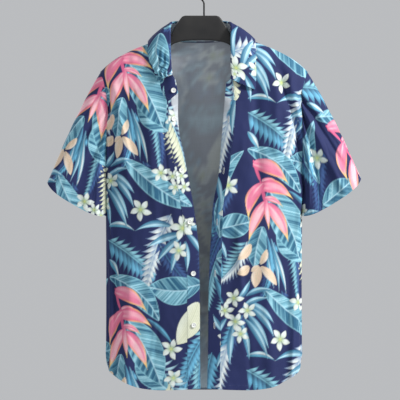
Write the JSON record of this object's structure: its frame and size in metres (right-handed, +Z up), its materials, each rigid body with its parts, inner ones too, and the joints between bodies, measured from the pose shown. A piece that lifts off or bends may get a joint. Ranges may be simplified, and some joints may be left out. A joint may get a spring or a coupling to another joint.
{
  "type": "hawaiian shirt on a hanger",
  "caption": "Short-sleeved shirt with an all-over leaf and flower print, hung open at the front on a plain black hanger with a wire hook.",
  "frame": {"origin": "inside of the hook's crown, where a rail carries the hanger", "axes": "+Z up along the hook, -Y towards the front of the shirt, +X towards the wearer's left"},
  "size_m": [0.6628, 0.0949, 0.8722],
  "materials": {
    "printed_cloth": "soft matt weave with a leaf and flower print",
    "collar_cloth": "soft matt weave with a leaf and flower print",
    "button_shell": "polished, pearly white",
    "hanger_black": "matt black",
    "hook_wire": "satin black"
  },
  "bodies": {
    "root": {"front_right": "printed_cloth", "placket_right": "printed_cloth", "sleeve_right": "printed_cloth", "front_left": "printed_cloth", "placket_left": "printed_cloth", "sleeve_left": "printed_cloth", "back_upper_right": "printed_cloth", "back_upper_left": "printed_cloth", "back_lower_right": "printed_cloth", "back_lower_left": "printed_cloth", "collar_stand": "collar_cloth", "collar_leaf": "collar_cloth", "button_1": "button_shell", "button_2": "button_shell", "button_3": "button_shell", "button_4": "button_shell", "button_5": "button_shell", "collar_button": "button_shell", "hanger_body": "hanger_black", "hanger_hook": "hook_wire"}
  },
  "joints": []
}
